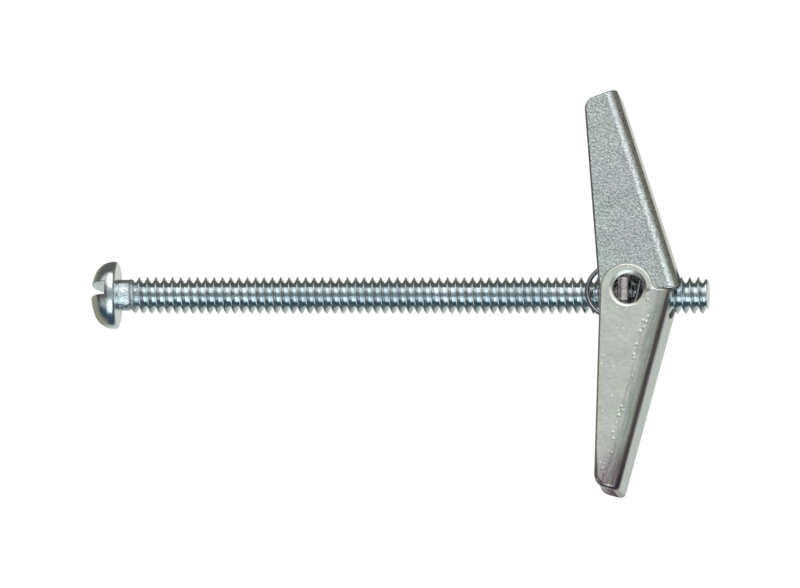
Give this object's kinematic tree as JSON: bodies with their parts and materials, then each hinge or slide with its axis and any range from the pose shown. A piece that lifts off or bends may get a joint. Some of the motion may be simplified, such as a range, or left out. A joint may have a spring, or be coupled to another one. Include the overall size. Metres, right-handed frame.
{
  "type": "spring toggle bolt",
  "caption": "Slotted round-head machine screw with a stamped trunnion nut and a pair of spring-opened folded sheet-metal wings for hollow walls.",
  "frame": {"origin": "centre of the screw head's bearing face", "axes": "+X along the screw from the head to the tip, +Y along the open upper wing, +Z along the wings' pivot axis"},
  "size_m": [0.0796, 0.0527, 0.0097],
  "materials": {
    "screw_zinc": "bright zinc plate with a faint blue tint",
    "nut_zinc": "zinc plated stamped steel, satin",
    "spring_wire": "drawn spring wire, semi-bright",
    "wing_zinc": "zinc plated sheet steel with a fine spangle, brighter on the bends"
  },
  "bodies": {
    "screw": {"machine_screw": "screw_zinc"},
    "nut": {"trunnion_nut": "nut_zinc", "torsion_spring": "spring_wire"},
    "upper_wing": {"upper_wing": "wing_zinc"},
    "lower_wing": {"lower_wing": "wing_zinc"}
  },
  "joints": [
    {"name": "nut_travel", "type": "slide", "parent": "screw", "child": "nut", "axis": [-1, 0, 0], "range_m": [-0.006, 0.038]},
    {"name": "upper_wing_fold", "type": "hinge", "parent": "nut", "child": "upper_wing", "pos_m": [0.0664, 0, 0], "axis": [0, 0, 1], "range_deg": [0, 77.5], "stiffness_Nm_per_rad": 0.02, "springref_deg": -22.92, "deforming": ["torsion_spring"]},
    {"name": "lower_wing_fold", "type": "hinge", "parent": "nut", "child": "lower_wing", "pos_m": [0.0664, 0, 0], "axis": [0, 0, -1], "range_deg": [0, 81], "stiffness_Nm_per_rad": 0.02, "springref_deg": -22.92, "deforming": ["torsion_spring"]}
  ]
}
